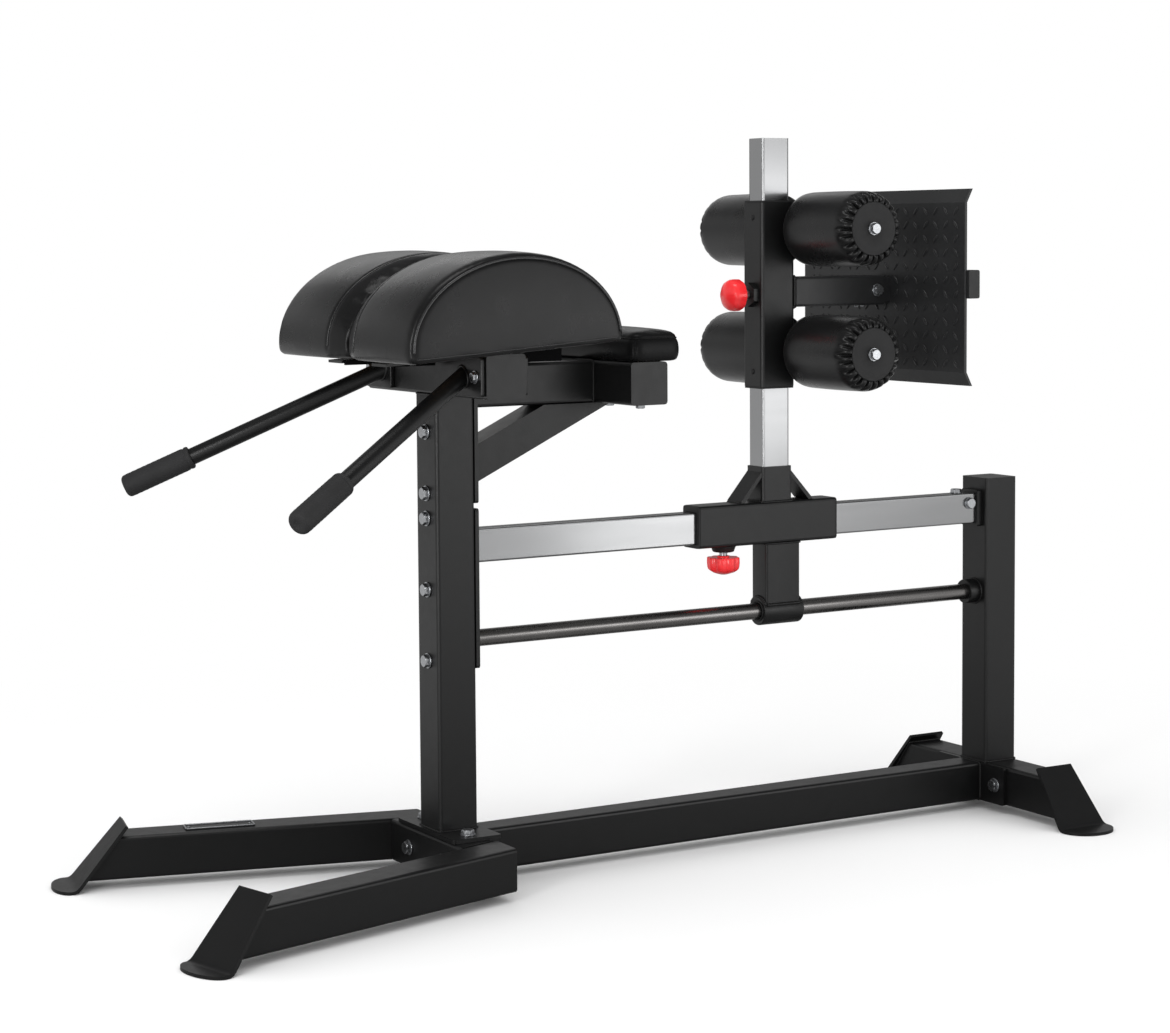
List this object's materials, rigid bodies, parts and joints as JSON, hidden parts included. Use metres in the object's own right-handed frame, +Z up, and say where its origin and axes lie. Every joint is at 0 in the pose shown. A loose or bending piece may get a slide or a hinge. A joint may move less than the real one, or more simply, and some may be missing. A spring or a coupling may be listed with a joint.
{
  "type": "glute ham developer",
  "caption": "strength training bench with half round thigh pads, handles and a seat pad on a steel frame, and a rail carriage whose mast carries ankle rollers and a foot plate",
  "frame": {"origin": "On the floor under the middle of the overall length and width", "axes": "+X to the rear, from the handles to the foot plate; +Y to the far side; +Z up"},
  "size_m": [1.598, 0.6308, 1.101],
  "materials": {
    "black_paint": "satin powder coat",
    "chrome": "polished",
    "gunmetal": "polished dark steel",
    "zinc": "bright zinc plated",
    "vinyl": "soft satin vinyl",
    "rubber": "matte",
    "red_plastic": "glossy",
    "dark_plastic": "matte",
    "plywood": "raw",
    "label": "satin"
  },
  "bodies": {
    "frame": {"front_cross_tube": "black_paint", "front_leg_near": "black_paint", "front_leg_far": "black_paint", "front_foot_near": "black_paint", "front_foot_far": "black_paint", "label_plate": "label", "base_beam": "black_paint", "rear_cross_tube": "black_paint", "rear_foot_near": "black_paint", "rear_foot_far": "black_paint", "front_post": "black_paint", "rear_post": "black_paint", "strut_plate": "black_paint", "rail_flange": "black_paint", "pad_cross_tube": "black_paint", "top_tube": "black_paint", "diagonal_strut": "black_paint", "seat_cross_tube": "black_paint", "seat_board": "plywood", "seat_pad": "vinyl", "thigh_pad_board_near": "plywood", "thigh_pad_board_far": "plywood", "thigh_pad_near": "vinyl", "thigh_pad_far": "vinyl", "handle_near": "black_paint", "handle_far": "black_paint", "grip_near": "rubber", "grip_far": "rubber", "post_bolt_1": "zinc", "post_bolt_2": "zinc", "post_bolt_3": "zinc", "post_bolt_4": "zinc", "post_bolt_5": "zinc", "post_plate_bolt_near": "zinc", "post_plate_bolt_far": "zinc", "beam_front_bolt_near": "zinc", "beam_front_bolt_far": "zinc", "beam_rear_bolt_near": "zinc", "beam_rear_bolt_far": "zinc", "main_rail": "chrome", "guide_rod": "gunmetal"},
    "carriage": {"carriage_sleeve": "black_paint", "carriage_liner": "dark_plastic", "carriage_neck": "black_paint", "carriage_lower_neck": "black_paint", "mast": "chrome"},
    "roller_carriage": {"roller_sleeve": "black_paint", "roller_sleeve_liner": "dark_plastic", "foot_arm": "black_paint", "foot_plate": "black_paint", "upper_axle": "zinc", "lower_axle": "zinc"},
    "rail_lock": {"rail_pin": "zinc", "rail_knob": "red_plastic"},
    "mast_lock": {"mast_pin": "zinc", "mast_knob": "red_plastic"},
    "upper_roller_near_body": {"upper_roller_near": "vinyl"},
    "upper_roller_far_body": {"upper_roller_far": "vinyl"},
    "lower_roller_near_body": {"lower_roller_near": "vinyl"},
    "lower_roller_far_body": {"lower_roller_far": "vinyl"}
  },
  "joints": [
    {"name": "carriage_slide", "type": "slide", "parent": "frame", "child": "carriage", "axis": [1, 0, 0], "range_m": [-0.124, 0.248]},
    {"name": "roller_height_slide", "type": "slide", "parent": "carriage", "child": "roller_carriage", "axis": [0, 0, 1], "range_m": [-0.09, 0.09]},
    {"name": "rail_lock_pull", "type": "slide", "parent": "carriage", "child": "rail_lock", "axis": [0, 0, -1], "range_m": [0, 0.01], "stiffness_N_per_m": 600, "springref_m": -0.01},
    {"name": "mast_lock_pull", "type": "slide", "parent": "roller_carriage", "child": "mast_lock", "axis": [-1, 0, 0], "range_m": [0, 0.01], "stiffness_N_per_m": 600, "springref_m": -0.01},
    {"name": "upper_roller_near_spin", "type": "hinge", "parent": "roller_carriage", "child": "upper_roller_near_body", "pos_m": [0.35935, 0, 0.959], "axis": [0, 1, 0], "continuous": true},
    {"name": "upper_roller_far_spin", "type": "hinge", "parent": "roller_carriage", "child": "upper_roller_far_body", "pos_m": [0.35935, 0, 0.959], "axis": [0, 1, 0], "continuous": true},
    {"name": "lower_roller_near_spin", "type": "hinge", "parent": "roller_carriage", "child": "lower_roller_near_body", "pos_m": [0.35935, 0, 0.769], "axis": [0, 1, 0], "continuous": true},
    {"name": "lower_roller_far_spin", "type": "hinge", "parent": "roller_carriage", "child": "lower_roller_far_body", "pos_m": [0.35935, 0, 0.769], "axis": [0, 1, 0], "continuous": true}
  ]
}
